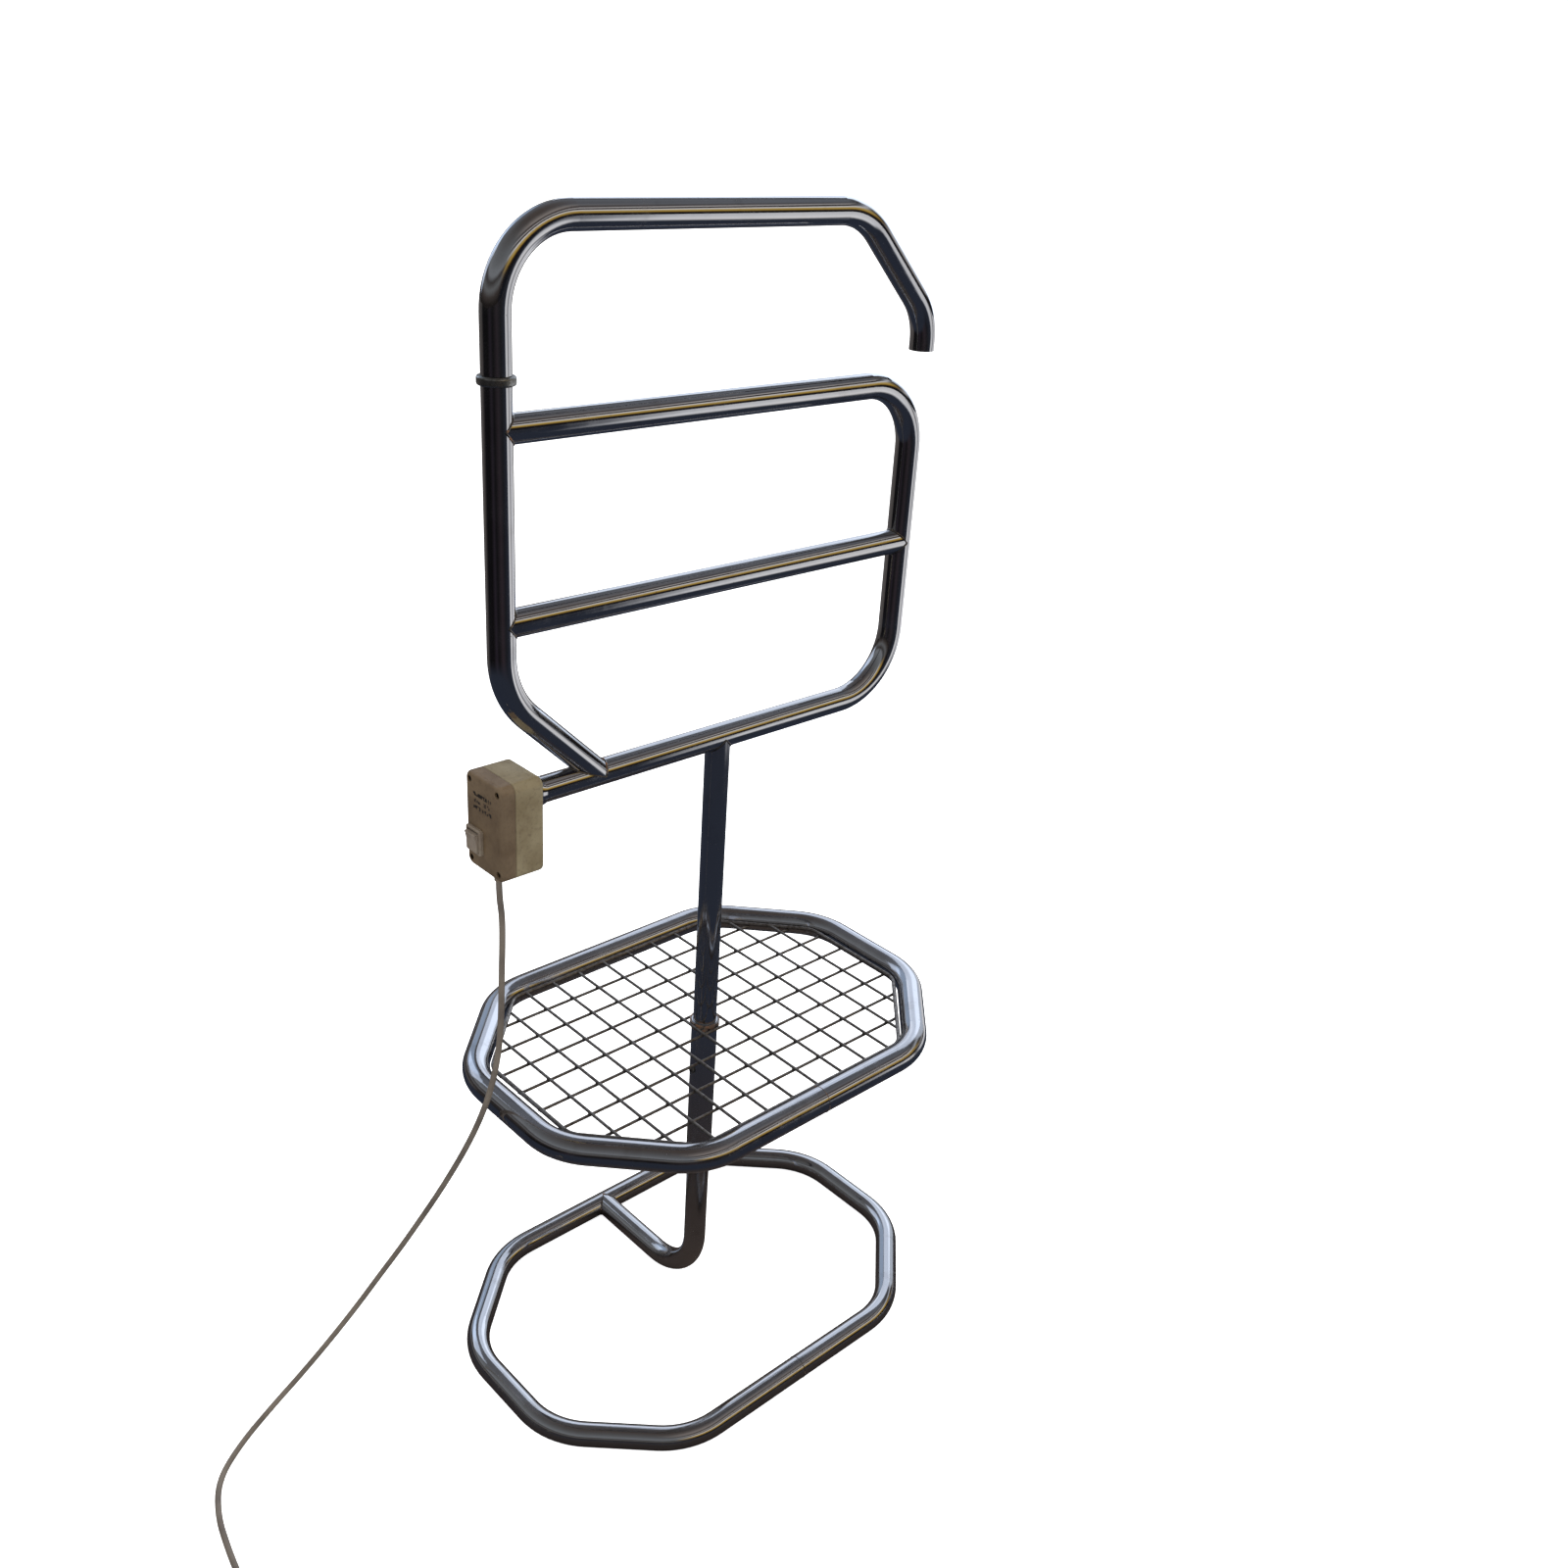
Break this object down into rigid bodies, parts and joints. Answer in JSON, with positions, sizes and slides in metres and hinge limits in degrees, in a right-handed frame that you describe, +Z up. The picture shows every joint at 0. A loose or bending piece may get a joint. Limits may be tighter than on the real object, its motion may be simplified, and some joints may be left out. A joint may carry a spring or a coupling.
{
  "type": "towel warmer rack",
  "caption": "Free-standing electric towel warmer: a bent tube rack with a swing arm on a post, a wire tray and a ring base, with a switch box and a mains lead.",
  "frame": {"origin": "on the floor, on the axis of the post, at the middle of the base ring", "axes": "+Z up; +X along the rack, away from the control box; +Y to the rear, where the post's foot meets the base ring"},
  "size_m": [1.0015, 0.378, 1.212],
  "materials": {
    "stand_chrome": "polished chrome plate, dulled by use",
    "tray_chrome": "polished chrome plate, dulled by use",
    "rack_chrome": "polished chrome plate",
    "collar_chrome": "polished chrome plate",
    "wire_chrome": "drawn wire, chrome plated",
    "collar_steel": "welded steel with light rust",
    "screw_steel": "zinc plated",
    "flange_chrome": "polished chrome plate",
    "gasket_pale": "matte",
    "box_plastic": "fine moulded texture",
    "cover_plastic": "fine moulded texture",
    "switch_plastic": "moulded",
    "rocker_plastic": "satin moulded",
    "block_plastic": "moulded",
    "terminal_brass": "machined",
    "core_pvc": "smooth",
    "cable_silicone": "matte",
    "seal_rubber": "matte",
    "nylon": "turned",
    "relief_rubber": "matte",
    "cord_pvc": "satin",
    "plug_plastic": "moulded",
    "pin_metal": "nickel plated"
  },
  "bodies": {
    "frame": {"base_ring": "stand_chrome", "lower_post": "stand_chrome", "post_socket": "stand_chrome", "socket_collar": "collar_steel", "clamp_screw": "screw_steel", "tray_ring": "tray_chrome", "tray_border_wire": "wire_chrome", "tray_cross_wires": "wire_chrome", "tray_long_wires": "wire_chrome", "rack_frame_tube": "rack_chrome", "left_upright": "rack_chrome", "middle_bar": "rack_chrome", "upper_post": "rack_chrome", "heating_cable": "cable_silicone", "cable_end_seal": "seal_rubber", "thrust_collar": "collar_chrome", "upright_bush": "nylon", "bar_flange": "flange_chrome", "box_gasket": "gasket_pale", "lock_nut": "screw_steel", "box_housing": "box_plastic", "box_cover": "cover_plastic", "cover_screws": "screw_steel", "switch_body": "switch_plastic", "switch_blades": "terminal_brass", "terminal_block": "block_plastic", "terminal_screws": "terminal_brass", "supply_cores": "core_pvc", "heating_leads": "core_pvc", "switch_leads": "core_pvc", "strain_relief": "relief_rubber", "cord_sheath_end": "cord_pvc", "cord_clamp": "block_plastic", "cord_clamp_screws": "screw_steel", "power_cord": "cord_pvc", "cord_coil": "cord_pvc", "cord_tail": "cord_pvc", "plug_body": "plug_plastic", "plug_pins": "pin_metal", "plug_earth_clips": "pin_metal"},
    "arm": {"swing_arm": "rack_chrome", "arm_spigot": "screw_steel"},
    "rocker": {"switch_rocker": "rocker_plastic"}
  },
  "joints": [
    {"name": "arm_swing", "type": "hinge", "parent": "frame", "child": "arm", "pos_m": [-0.2472, 0, 1.05], "axis": [0, 0, 1], "continuous": true},
    {"name": "rocker_tilt", "type": "hinge", "parent": "frame", "child": "rocker", "pos_m": [-0.2677, 0.0132, 0.678], "axis": [0, 1, 0], "range_deg": [0, 12]}
  ]
}
